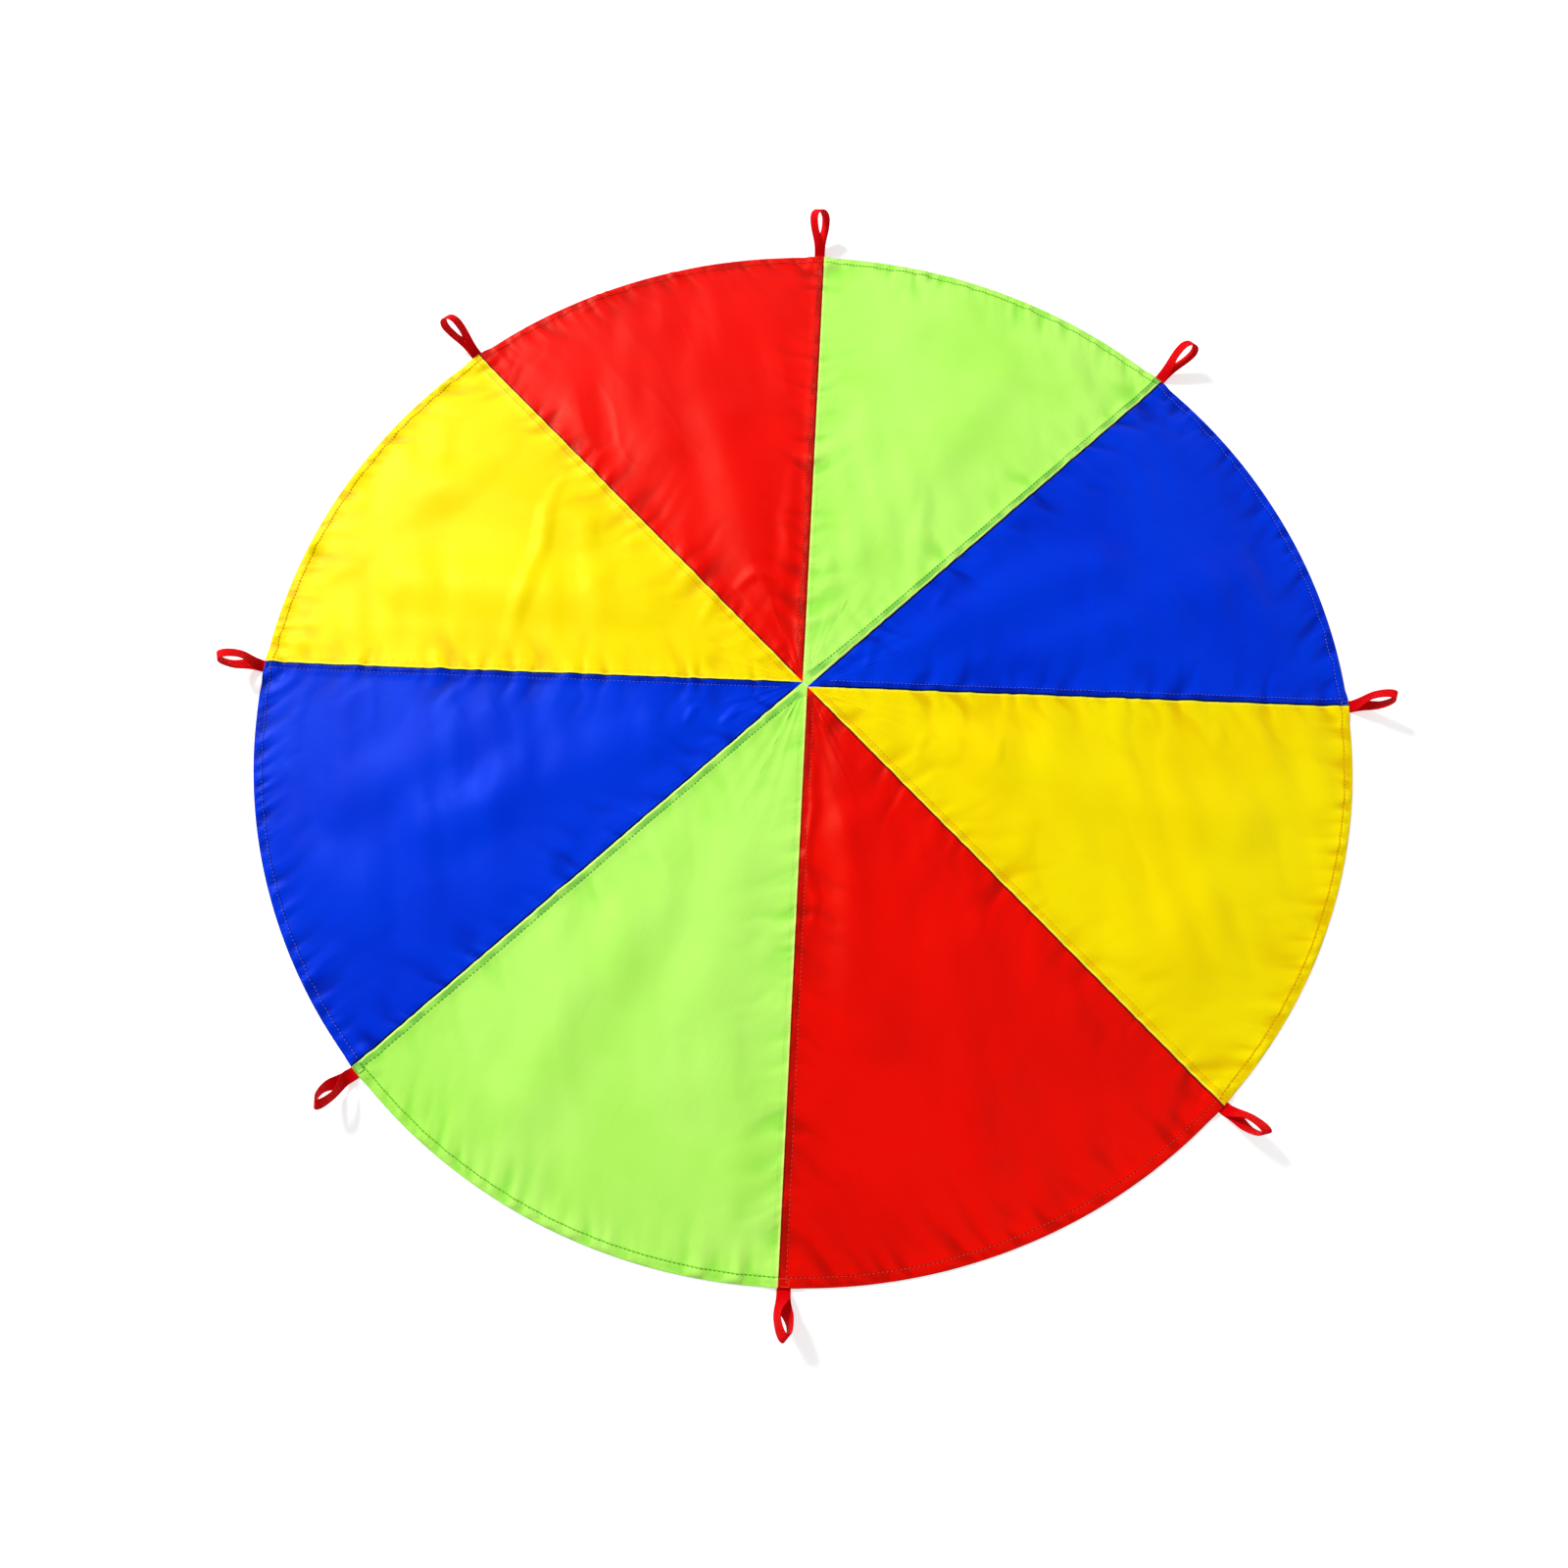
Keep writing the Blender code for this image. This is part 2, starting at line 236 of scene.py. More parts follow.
def makeFloor():
    bpy.ops.mesh.primitive_plane_add(size=stage["floorSize"], location=(0, 0, -stage["floorDrop"]))
    floor = bpy.context.object
    floor.name = "floor"
    surface = bpy.data.materials.new("paleFloor")
    surface.use_nodes = True
    tree = surface.node_tree
    shader = tree.nodes["Principled BSDF"]
    shader.inputs["Base Color"].default_value = (*linear(stage["floorColour"]), 1)
    shader.inputs["Roughness"].default_value = stage["floorRoughness"]
    shader.inputs["Specular IOR Level"].default_value = 0.0
    place = addNode(tree, "ShaderNodeTexCoord", (-900, -600))
    away = addNode(tree, "ShaderNodeVectorMath", (-700, -600), operation="LENGTH")
    tree.links.new(place.outputs["Object"], away.inputs[0])
    away = away.outputs["Value"]
    spread = ramped(tree, (-400, -600), away, *stage["glowReach"], *stage["floorGlow"], "LINEAR")
    emission = addNode(tree, "ShaderNodeEmission", (50, -300))
    glow = product(tree, (-150, -300), whiteForCamera(tree, (-700, -300)), spread)
    tree.links.new(glow, emission.inputs["Strength"])
    both = addNode(tree, "ShaderNodeAddShader", (320, 0))
    tree.links.new(shader.outputs[0], both.inputs[0])
    tree.links.new(emission.outputs[0], both.inputs[1])
    tree.links.new(both.outputs[0], tree.nodes["Material Output"].inputs["Surface"])
    floor.data.materials.append(surface)


def makeLight():
    world = bpy.data.worlds.new("studio")
    bpy.context.scene.world = world
    world.use_nodes = True
    tree = world.node_tree
    background = tree.nodes["Background"]
    seen = whiteForCamera(tree, (-900, 0))
    strength = ramped(tree, (-300, 0), seen, 0.0, 1.0, stage["worldLight"], 1.0, "LINEAR")
    tree.links.new(strength, background.inputs["Strength"])
    background.inputs["Color"].default_value = (1, 1, 1, 1)
    for name in ("key", "fill"):
        place = Vector(stage[name + "Place"])
        aim = (-place).to_track_quat("-Z", "Y").to_euler()
        bpy.ops.object.light_add(type="AREA", location=place, rotation=aim)
        lamp = bpy.context.object
        lamp.name = name + "Light"
        lamp.data.shape = "DISK"
        lamp.data.size = stage[name + "Size"]
        lamp.data.energy = stage[name + "Power"]


placeCamera()
makeFloor()
makeLight()
bpy.context.scene.view_settings.view_transform = "Standard"
print("stage, light and camera done")


# form of the laid cloth

canopy = {
    "radius": 0.915,
    "cloth": 0.0005,
    "hem": 0.0155,     # turned under at the rim
    "hemStitch": 0.0142,
    "hemRoll": 0.0008,
    "flange": 0.013,     # runs under the gore before
    "flangeFrom": 0.060,
    "flangeTo": 0.897,
    "foldsTo": 0.875,     # the main folds end here
    "seamStitch": 0.0115,
    "apexShift": 0.0058,     # the two half discs miss each other a little at the centre
    "foldHeight": 0.0085,
    "foldWidth": 0.085,
    "foldCut": 0.0005,
    "foldSoft": 0.0012,
    "seamRest": 0.013,
    "foldSeamFade": 0.075,
    "foldHemFade": 0.090,
    "lift": 0.0016,     # the cloth's usual height above the floor
    "liftHem": 0.012,
    "swell": 0.0024,     # broad rise and fall of the whole cloth
    "swellLength": 0.30,
    "ripple": 0.0012,
    "rippleLength": 0.15,
    "rippleSlant": 0.4,
    "streak": 0.0046,     # long soft folds that run across the cloth
    "streakWide": 0.062,
    "streakLong": 0.30,
    "streakSlant": 0.22,
    "patch": 0.22,     # streaks and creases come in patches of this size
    "crease": 0.0004,
    "creaseWide": 0.055,
    "creaseLong": 0.17,
    "livelier": 0.55,     # more relief round one place
    "liveliest": (0.50, -0.42, 0.40),     # that place and its reach
    "seamCalm": (0.30, 0.060),     # share of the relief left at the seams, and its reach
    "hemCalm": (0.15, 0.090),
    "foldCalm": (0.30, 0.018),
    "smallFold": 1.1,     # scales the smaller folds below
    "wander": 0.006,     # the smaller folds stray this far from their lines
    "wanderLength": 0.07,
    "pucker": 0.0040,     # along the seams
    "hemPucker": 0.0052,
    "puckerSlant": 0.35,
    "gather": 0.0008,     # streaks that run out of the centre
    "gatherCount": 11,
    "apexCalm": 0.06,     # inside this radius seams and cloth lie flat
    "layRest": 0.0004,     # softness of the cloth's touch on the floor
    "tabSlope": 0.016,     # the cloth comes down from the webbing over this distance
    "tabMargin": 0.006,
}

# puckers: share, length, change and reach away from the line, offset, seed
puckerWaves = {
    "seam": ((1.15, 0.031, 0.080, 0.038, 17.3, 41), (0.55, 0.0145, 0.050, 0.017, 5.7, 43)),
    "hem": ((1.15, 0.027, 0.080, 0.034, 3.7, 57), (1.15, 0.0125, 0.050, 0.016, 1.3, 59)),
}

# rise of a gore over the next gore's flange, by the distance from its edge
lapSteps = (0.00003, 0.0010, 0.0025, 0.0060, 0.0095, 0.0115, 0.0135, 0.0155, 0.0200, 0.0240)
lapRise = (0.00055, 0.00125, 0.00150, 0.00135, 0.00095, 0.00058, 0.00075, 0.00055, 0.00015, 0.0)
# rise over its own hem, by the distance from the rim
hemSteps = (0.0013, 0.0040, 0.0085, 0.0120, 0.0142, 0.0160, 0.0195, 0.0255, 0.0320)
hemRise = (0.0020, 0.0021, 0.0018, 0.0013, 0.00090, 0.00080, 0.00045, 0.00010, 0.0)

# two main folds of each gore: radius and angle share of each end, then the height share
mainFolds = (
    ((0.30, 0.35, 0.80, 0.62, 0.55), (0.55, 0.20, 0.86, 0.28, 0.35)),
    ((0.20, 0.30, 0.62, 0.42, 0.90), (0.45, 0.75, 0.85, 0.60, 0.70)),
    ((0.30, 0.45, 0.80, 0.38, 1.00), (0.50, 0.72, 0.82, 0.80, 0.60)),
    ((0.18, 0.60, 0.62, 0.72, 0.80), (0.55, 0.35, 0.86, 0.50, 0.70)),
    ((0.35, 0.40, 0.72, 0.25, 0.60), (0.50, 0.70, 0.86, 0.66, 0.70)),
    ((0.25, 0.50, 0.70, 0.45, 0.60), (0.62, 0.75, 0.85, 0.60, 0.45)),
    ((0.35, 0.60, 0.78, 0.30, 0.90), (0.55, 0.80, 0.85, 0.62, 0.80)),
    ((0.20, 0.40, 0.60, 0.60, 0.80), (0.60, 0.30, 0.86, 0.45, 0.50)),
)

# smaller folds: points on the floor, then half width and height
smallFolds = (
    (((-0.035, 0.444), (-0.038, 0.260), (-0.042, 0.143)), 0.022, 0.0030),
    (((-0.133, 0.170), (-0.093, 0.202), (-0.044, 0.181)), 0.016, 0.0030),
    (((-0.261, 0.744), (-0.163, 0.417)), 0.060, 0.0040),
    (((-0.481, 0.757), (-0.443, 0.780)), 0.012, 0.0020),
    (((-0.242, 0.290), (-0.142, 0.101)), 0.030, 0.0020),
    (((0.204, 0.392), (0.179, 0.172)), 0.020, 0.0022),
    (((0.323, 0.612), (0.177, 0.350)), 0.070, 0.0030),
    (((0.039, 0.263), (0.036, 0.109)), 0.018, 0.0018),
    (((0.420, 0.731), (0.527, 0.622)), 0.040, 0.0016),
    (((0.059, 0.047), (0.092, 0.089)), 0.012, 0.0022),
    (((0.112, 0.113), (0.103, 0.035)), 0.012, 0.0022),
    (((0.204, 0.193), (0.314, 0.085), (0.431, 0.053)), 0.050, 0.0035),
    (((0.239, 0.214), (0.216, 0.155)), 0.012, 0.0020),
    (((0.390, 0.380), (0.273, 0.215)), 0.036, 0.0026),
    (((0.614, 0.290), (0.790, 0.144)), 0.060, 0.0026),
    (((0.279, -0.026), (0.327, -0.267)), 0.050, 0.0036),
    (((0.199, -0.075), (0.189, -0.127)), 0.012, 0.0014),
    (((0.259, -0.070), (0.249, -0.124)), 0.012, 0.0014),
    (((0.328, -0.073), (0.314, -0.128)), 0.012, 0.0014),
    (((0.665, -0.310), (0.530, -0.483)), 0.060, 0.0030),
    (((0.702, -0.038), (0.685, -0.088)), 0.015, 0.0014),
    (((0.016, -0.081), (0.023, -0.210), (0.010, -0.299), (0.030, -0.362), (0.023, -0.421)), 0.011, 0.0036),
    (((0.110, -0.205), (0.057, -0.276)), 0.040, 0.0030),
    (((0.195, -0.270), (0.183, -0.354)), 0.030, 0.0026),
    (((0.214, -0.233), (0.306, -0.372)), 0.045, 0.0024),
    (((0.377, -0.548), (0.286, -0.678)), 0.050, 0.0030),
    (((0.337, -0.749), (0.327, -0.798)), 0.020, 0.0018),
    (((-0.187, -0.378), (-0.365, -0.565)), 0.070, 0.0030),
    (((-0.133, -0.437), (-0.155, -0.585)), 0.050, 0.0026),
    (((-0.059, -0.706), (-0.075, -0.853)), 0.040, 0.0026),
    (((-0.033, -0.025), (-0.053, -0.053)), 0.009, 0.0016),
    (((-0.808, -0.294), (-0.621, -0.458)), 0.060, 0.0036),
    (((-0.194, -0.092), (-0.176, -0.046)), 0.012, 0.0022),
    (((-0.134, -0.090), (-0.111, -0.043)), 0.012, 0.0022),
    (((-0.443, -0.128), (-0.539, -0.299)), 0.050, 0.0030),
    (((-0.740, 0.271), (-0.568, 0.427)), 0.045, 0.0036),
    (((-0.853, 0.159), (-0.787, 0.215)), 0.040, 0.0028),
    (((-0.461, 0.386), (-0.478, 0.239), (-0.512, 0.032)), 0.020, 0.0036),
    (((-0.182, 0.095), (-0.154, 0.161)), 0.014, 0.0018),
    (((-0.310, 0.267), (-0.385, 0.158)), 0.040, 0.0024),
)

handles = {
    "width": 0.020,
    "webbing": 0.0012,
    "layerGap": 0.0003,
    "tabLength": 0.016,
    "tabOverhang": 0.0004,
    "hingeGap": 0.0003,
    "length": 0.080,     # hem to tip
    "opening": 0.025,
    "rollLength": 0.050,
    "lengthShares": (1.04, 1.04, 0.94, 0.91, 0.88, 0.89, 0.91, 1.04),
    "openingShares": (1.32, 1.20, 0.86, 0.72, 0.74, 0.80, 0.92, 1.20),
    "widestShares": (0.80, 0.80, 0.60, 0.60, 0.58, 0.64, 0.60, 0.80),     # where a loop is widest
    "bendFrom": -0.0010,     # the webbing starts to rise here and is at its slope over the next length
    "bendLength": 0.0060,
    "shares": (0.45, 0.30, 0.02, -0.08, 0.42, 0.43, 0.40, 0.13),     # place beside the seam, in widths
    "rises": (47.0, 40.0, 54.0, 52.0, 46.0, 46.0, 52.0, 42.0),
    "leans": (2.0, -4.0, -1.0, 2.5, 4.0, 10.0, 6.0, 5.0),
    "rolls": (42.0, 35.0, 34.0, 41.0, -65.0, 68.0, -35.0, -34.0),
    "slopeSteps": 64,
    "stripSteps": (6, 22, 20),     # sewn end, side and tip
    "acrossSteps": 8,
    "edgeRound": 0.00035,
    "flexFrom": 0.0012,     # the strip bends from here before the hinge
    "flexTo": 0.0062,     # to here past it
    "colours": {"Webbing": (0.97, 0.00, 0.05), "Deep": (0.74, 0.00, 0.02)},
    "gloss": {"Specular IOR Level": 0.15, "Specular Tint": (1.0, 0.2, 0.2, 1)},
    "weaveBump": 0.00022,
}
tabStack = 2 * handles["webbing"] + handles["layerGap"]
hingeRadius = canopy["radius"] + handles["tabOverhang"] + handles["hingeGap"] + tabStack / 2


def outward(index):
    return np.array((math.sin(index * goreAngle), math.cos(index * goreAngle)))


def anticlockwise(index):
    return np.array((-math.cos(index * goreAngle), math.sin(index * goreAngle)))


def tabLift(x, y):     # the sewn webbing ends under the hem hold the cloth off the floor
    lift = np.zeros(np.shape(x))
    for index, share in enumerate(handles["shares"]):
        out, side = outward(index), anticlockwise(index)
        along = x * out[0] + y * out[1]
        aside = x * side[0] + y * side[1] - share * handles["width"]
        short = np.maximum(canopy["radius"] - handles["tabLength"] - canopy["tabMargin"] - along, 0)
        wide = np.maximum(np.abs(aside) - handles["width"] / 2 - canopy["tabMargin"], 0)
        slope = 1 - smooth(np.hypot(short, wide) / canopy["tabSlope"])
        lift = np.maximum(lift, slope * (tabStack + handles["layerGap"]))
    return lift


def mainFoldRise(gore, radius, angle):
    x, y = radius * np.sin(angle), radius * np.cos(angle)
    rise = np.full(np.shape(x), -canopy["foldCut"])
    for index, folds in enumerate(mainFolds):
        here = gore == index
        for nearRadius, nearAngle, farRadius, farAngle, share in folds:
            ends = []
            for r, a in ((nearRadius, nearAngle), (farRadius, farAngle)):
                r, a = r * canopy["radius"], a * goreAngle
                ends.append((r * math.sin(a), r * math.cos(a)))
            away = lineDistance(x, y, ends)[0] / canopy["foldWidth"]
            rise += here * share * canopy["foldHeight"] * (1 - smooth(away))
    rise = (rise + np.sqrt(rise * rise + canopy["foldSoft"] ** 2)) / 2     # eases down to the floor
    toSeam = np.minimum(radius * np.sin(angle), radius * np.sin(goreAngle - angle)) - canopy["seamRest"]
    toHem = canopy["foldsTo"] - radius
    return rise * smooth(toSeam / canopy["foldSeamFade"]) * smooth(toHem / canopy["foldHemFade"])


def seamPlaces(x, y):     # polar place, gore, angle in it, ways from and along the next seam, and from the rim
    radius, bearing = np.hypot(x, y), np.arctan2(x, y) % (2 * math.pi)
    gore = np.floor(bearing / goreAngle).astype(int) % len(gores)
    angle = bearing - gore * goreAngle
    nearest = np.minimum(angle, goreAngle - angle)
    toRim = np.maximum(canopy["radius"] - radius, 0)
    return radius, bearing, gore, angle, radius * np.sin(nearest), radius * np.cos(nearest), toRim


def puckers(x, y):     # short waves square to the seams and the hem, where the stitches draw the cloth in
    radius, bearing, gore, angle, toSeam, alongSeam, toRim = seamPlaces(x, y)
    seam = np.round(bearing / goreAngle) % len(gores)
    rim = radius * angle + gore * 0.9
    slanted = alongSeam - canopy["puckerSlant"] * toSeam + 0.010 * softNoise(x / 0.05, y / 0.05, 47)
    wave, hem = np.zeros(np.shape(x)), np.zeros(np.shape(x))
    for share, length, change, reach, offset, seed in puckerWaves["seam"]:
        along = slanted / length + seam * offset
        wave += share * softNoise(along, toSeam / change, seed) * np.exp(-toSeam / reach)
    for share, length, change, reach, offset, seed in puckerWaves["hem"]:
        hem += share * softNoise(rim / length, toRim / change + offset, seed) * np.exp(-toRim / reach)
    wave *= 0.35 + 0.85 * smooth(softNoise(alongSeam / 0.10 + seam * 3.1, toSeam / 0.3, 45) + 0.5)     # uneven
    wave *= smooth(radius / canopy["apexCalm"])
    hem *= 0.45 + 0.80 * smooth(softNoise(rim / 0.12, toRim / 0.3, 61) + 0.5)
    hem *= smooth(toSeam / 0.03) * smooth((toRim - 0.0005) / 0.005)
    return canopy["pucker"] * wave + canopy["hemPucker"] * hem


def calmed(name, away):     # share of the relief at a distance from a seam or the rim
    left, reach = canopy[name]
    return left + (1 - left) * smooth(away / reach)


def relief(x, y):     # height of the lowest layer above the floor
    radius, bearing, gore, angle, toSeam, alongSeam, toRim = seamPlaces(x, y)
    inner = calmed("seamCalm", toSeam) * calmed("hemCalm", toRim)

    length, slant = canopy["swellLength"], canopy["rippleSlant"]
    swell = canopy["swell"] * softNoise(x / length + 3.1, y / length + 7.7, 4)
    length = canopy["rippleLength"]
    swell += canopy["ripple"] * softNoise((x + slant * y) / length, (y - slant * x) / length, 9)
    patches = smooth(softNoise(x / canopy["patch"], y / canopy["patch"], 33) * 1.4 + 0.5)
    slant = canopy["streakSlant"]
    streaks = softNoise((x + slant * y) / canopy["streakWide"], (y - slant * x) / canopy["streakLong"], 25)
    swell += canopy["streak"] * patches * streaks
    wide, long = canopy["creaseWide"], canopy["creaseLong"]
    ridges = 1 - np.abs(softNoise((x * 0.9 + y * 0.43) / wide, (y * 0.9 - x * 0.43) / long, 21)) * 2.2
    swell += canopy["crease"] * np.maximum(ridges, 0) ** 2 * patches
    middleX, middleY, reach = canopy["liveliest"]
    swell *= 1 + canopy["livelier"] * np.exp(-((x - middleX) ** 2 + (y - middleY) ** 2) / reach ** 2)

    folds = np.zeros(np.shape(x))
    length = canopy["wanderLength"]
    wanderX = x + canopy["wander"] * softNoise(x / length, y / length, 81)
    wanderY = y + canopy["wander"] * softNoise(x / length, y / length, 83)
    for path, width, height in smallFolds:
        away, reached = lineDistance(wanderX, wanderY, path)
        taper = np.sin(math.pi * np.clip(reached, 0.04, 0.96)) ** 0.8
        folds += canopy["smallFold"] * height * taper * (1 - smooth(away / (width * (0.7 + 0.6 * taper))))
    folds *= calmed("foldCalm", toSeam)

    offApex = smooth(radius / canopy["apexCalm"])
    gather = canopy["gather"] * softNoise(bearing * canopy["gatherCount"], radius / 0.30, 71)
    gather *= offApex * (1 - smooth((radius - 0.12) / 0.22)) * smooth(toSeam / 0.012)
    lift = canopy["lift"] * (0.25 + 0.75 * smooth((toRim - 0.001) / canopy["liftHem"])) * (0.5 + 0.5 * offApex)
    total = lift + swell * inner + folds + puckers(x, y) + gather
    calm = (total + np.sqrt(total * total + canopy["layRest"] ** 2)) / 2     # never below the floor
    return canopy["cloth"] + calm + tabLift(x, y) + mainFoldRise(gore, radius, angle)


def layerRise(radius, angle):     # rise of a gore's top layer over flange and hem
    toLast = radius * np.sin(np.clip(goreAngle - angle, 0, goreAngle))
    lap = np.interp(toLast, lapSteps, lapRise) * smooth((radius - 0.030) / 0.030)
    hem = np.interp(canopy["radius"] - radius, hemSteps, hemRise)
    return np.maximum(lap, hem)


def halfShift(index, radius, angle):     # moves each half disc off the middle of the long seam
    across = np.array((1.0, -1.0)) / math.sqrt(2)
    share = np.clip(angle / goreAngle, 0, 1)
    side = {0: 2 * share - 1, 4: 1 - 2 * share}.get(index, np.full(np.shape(angle), 1.0 if index < 4 else -1.0))
    size = canopy["apexShift"] * np.clip(1 - radius / canopy["radius"], 0, 1) * side
    return size * across[0], size * across[1]


def layPoints(index, radius, angle, level):     # places on the laid cloth
    bearing = index * goreAngle + angle
    x, y = radius * np.sin(bearing), radius * np.cos(bearing)
    shiftX, shiftY = halfShift(index, radius, angle)
    return np.stack((x + shiftX, y + shiftY, level + relief(x, y)), axis=-1)


firstColumns = (0.00003, 0.0012, 0.0030, 0.0060, 0.0100, 0.0150, 0.0210, 0.0280)
lastColumns = (0.00003, 0.0010, 0.0025, 0.0042, 0.0065, 0.0095, 0.0115, 0.0135, 0.0155,
               0.0195, 0.0240, 0.0290, 0.0350)
middleColumns = 150
apexRows, openRows = 10, 200
hemRows = (0.0345, 0.031, 0.0275, 0.0245, 0.0215, 0.0190, 0.0172, 0.0160, 0.0151, 0.0142,
           0.0133, 0.0118, 0.0098, 0.0070, 0.0038)     # by the distance from the rim
turnedRows = (0.0055, 0.011, canopy["hem"])     # on the turned side
rollSteps = 6


def columnAngles(radius):     # close to the seams by distance, evenly between them
    radius = radius[:, None]
    first = np.array(firstColumns)
    last = np.array(lastColumns)
    firstShare = 0.30 * (np.arange(len(first)) + 1) / len(first)
    lastShare = 0.42 * (np.arange(len(last)) + 1) / len(last)
    near = np.minimum(np.arcsin(np.clip(first / radius, 0, 1)), firstShare * goreAngle)
    far = goreAngle - np.minimum(np.arcsin(np.clip(last / radius, 0, 1)), lastShare * goreAngle)[:, ::-1]
    share = (np.arange(middleColumns) + 1) / (middleColumns + 1)
    middle = near[:, -1:] + (far[:, :1] - near[:, -1:]) * share
    return np.concatenate((near, middle, far), axis=1)


def goreRows():     # radius, and a level where the row isn't on the top layer
    edge, roll, cloth = canopy["radius"], canopy["hemRoll"], canopy["cloth"]
    top = list(np.linspace(0.0006, 0.030, apexRows)) + list(np.linspace(0.0345, edge - 0.038, openRows))
    top += [edge - back for back in hemRows]
    rows = [(radius, None) for radius in top]
    for step in range(rollSteps + 1):
        turn = math.pi * step / rollSteps
        rows.append((edge - cloth - roll + roll * math.sin(turn), cloth + roll + roll * math.cos(turn)))
    rows += [(edge - back, cloth) for back in turnedRows]
    return rows


def gridFaces(numbers):     # quads of a grid of point numbers, upward side up
    a, b = numbers[:-1, :-1].ravel(), numbers[:-1, 1:].ravel()
    c, d = numbers[1:, 1:].ravel(), numbers[1:, :-1].ravel()
    return np.stack((a, d, c, b), axis=1)


def makeGore(index):
    rows = goreRows()
    radius = np.array([r for r, level in rows])
    angle = columnAngles(radius)
    wide = np.broadcast_to(radius[:, None], angle.shape)
    level = layerRise(wide, angle)
    turned = np.array([math.nan if height is None else height for r, height in rows])
    level = np.where(np.isnan(turned)[:, None], level, np.nan_to_num(turned)[:, None])
    points = layPoints(index, wide, angle, level)
    # rows past the rim count outward on the flat cut
    under = np.arange(len(rows)) >= len(rows) - len(turnedRows) - rollSteps // 2
    cutRadius = np.where(under[:, None], 2 * canopy["radius"] - wide, wide)
    numbers = np.arange(points.shape[0] * points.shape[1]).reshape(points.shape[:2])
    faces = gridFaces(numbers)

    held = [row for row, (r, height) in enumerate(rows)
            if height is None and canopy["flangeFrom"] <= r <= canopy["flangeTo"]]
    flangeRadius = radius[held]
    steps = np.array((canopy["flange"], 0.009, 0.0045))
    flangeAngle = -np.arcsin(steps / flangeRadius[:, None])
    flangeWide = np.broadcast_to(flangeRadius[:, None], flangeAngle.shape)
    flangePoints = layPoints(index, flangeWide, flangeAngle, np.zeros(flangeAngle.shape))
    flangeNumbers = numbers.size + np.arange(flangeAngle.size).reshape(flangeAngle.shape)
    joined = np.concatenate((flangeNumbers, numbers[held, :1]), axis=1)
    faces = np.concatenate((faces, gridFaces(joined)))

    name = f"cloth_{index + 1}_{gores[index]}"
    allPoints = np.concatenate((points.reshape(-1, 3), flangePoints.reshape(-1, 3)))
    thing = meshObject(name, allPoints.tolist(), faces.tolist())
    everyRadius = np.concatenate((cutRadius.ravel(), flangeWide.ravel()))
    everyAngle = np.concatenate((angle.ravel(), flangeAngle.ravel()))
    fromMiddle = everyAngle - goreAngle / 2
    addFlatMap(thing, np.stack((everyRadius * np.sin(fromMiddle), everyRadius * np.cos(fromMiddle)), axis=1))
    addFloats(thing, "fromFirst", everyRadius * np.sin(everyAngle))
    addFloats(thing, "fromLast", everyRadius * np.sin(np.clip(goreAngle - everyAngle, 0, goreAngle)))
    addFloats(thing, "fromRim", canopy["radius"] - everyRadius)
    bearing = index * goreAngle + everyAngle
    # painted shade in the valleys of the puckers: its share, by their depth
    depth = -puckers(everyRadius * np.sin(bearing), everyRadius * np.cos(bearing))
    addFloats(thing, "valley", np.clip(depth / satin["valleyDepth"], 0, 1))
    pick(thing)
    bpy.ops.object.mode_set(mode="EDIT")
    bpy.ops.mesh.select_all(action="SELECT")
    bpy.ops.mesh.remove_doubles(threshold=0.00002)
    bpy.ops.object.mode_set(mode="OBJECT")
    addModifier(thing, "SOLIDIFY", thickness=canopy["cloth"], offset=1.0)
    bpy.ops.object.shade_smooth_by_angle(angle=math.radians(60))
    return thing


# cloth material

# colours as seen: the cloth, its shaded tone, its lap, its folded edge (painted highlight on green and yellow,
# painted shadow on blue and red), painted shade for the valleys of its puckers and the rim, its gloss
clothTones = {
    "green": {"Cloth": (0.75, 1.00, 0.43), "Deep": (0.64, 0.96, 0.27),
              "Band": (0.40, 0.74, 0.28), "Band Share": 0.80, "Edge Highlight And Shadow": (0.90, 1.00, 0.50), "Edge Highlight And Shadow Share": 0.9,
              "Painted Shade": (0.50, 0.89, 0.20), "Painted Shade Share": 0.50},
    "blue": {"Cloth": (0.00, 0.21, 0.88), "Deep": (0.00, 0.13, 0.78),
             "Band": (0.00, 0.06, 0.55), "Band Share": 0.75, "Edge Highlight And Shadow": (0.00, 0.00, 0.10), "Edge Highlight And Shadow Share": 1.0,
             "Painted Shade": (0.00, 0.07, 0.56), "Painted Shade Share": 0.65},
    "yellow": {"Cloth": (1.00, 0.92, 0.02), "Deep": (0.98, 0.84, 0.00),
               "Band": (0.94, 0.72, 0.02), "Band Share": 0.35, "Edge Highlight And Shadow": (1.00, 0.98, 0.25), "Edge Highlight And Shadow Share": 0.8,
               "Painted Shade": (0.86, 0.66, 0.00), "Painted Shade Share": 0.60},
    "red": {"Cloth": (0.95, 0.01, 0.00), "Deep": (0.85, 0.00, 0.00),
            "Band": (0.60, 0.00, 0.00), "Band Share": 0.70, "Edge Highlight And Shadow": (0.40, 0.00, 0.00), "Edge Highlight And Shadow Share": 0.90,
            "Painted Shade": (0.66, 0.00, 0.00), "Painted Shade Share": 0.60},
}

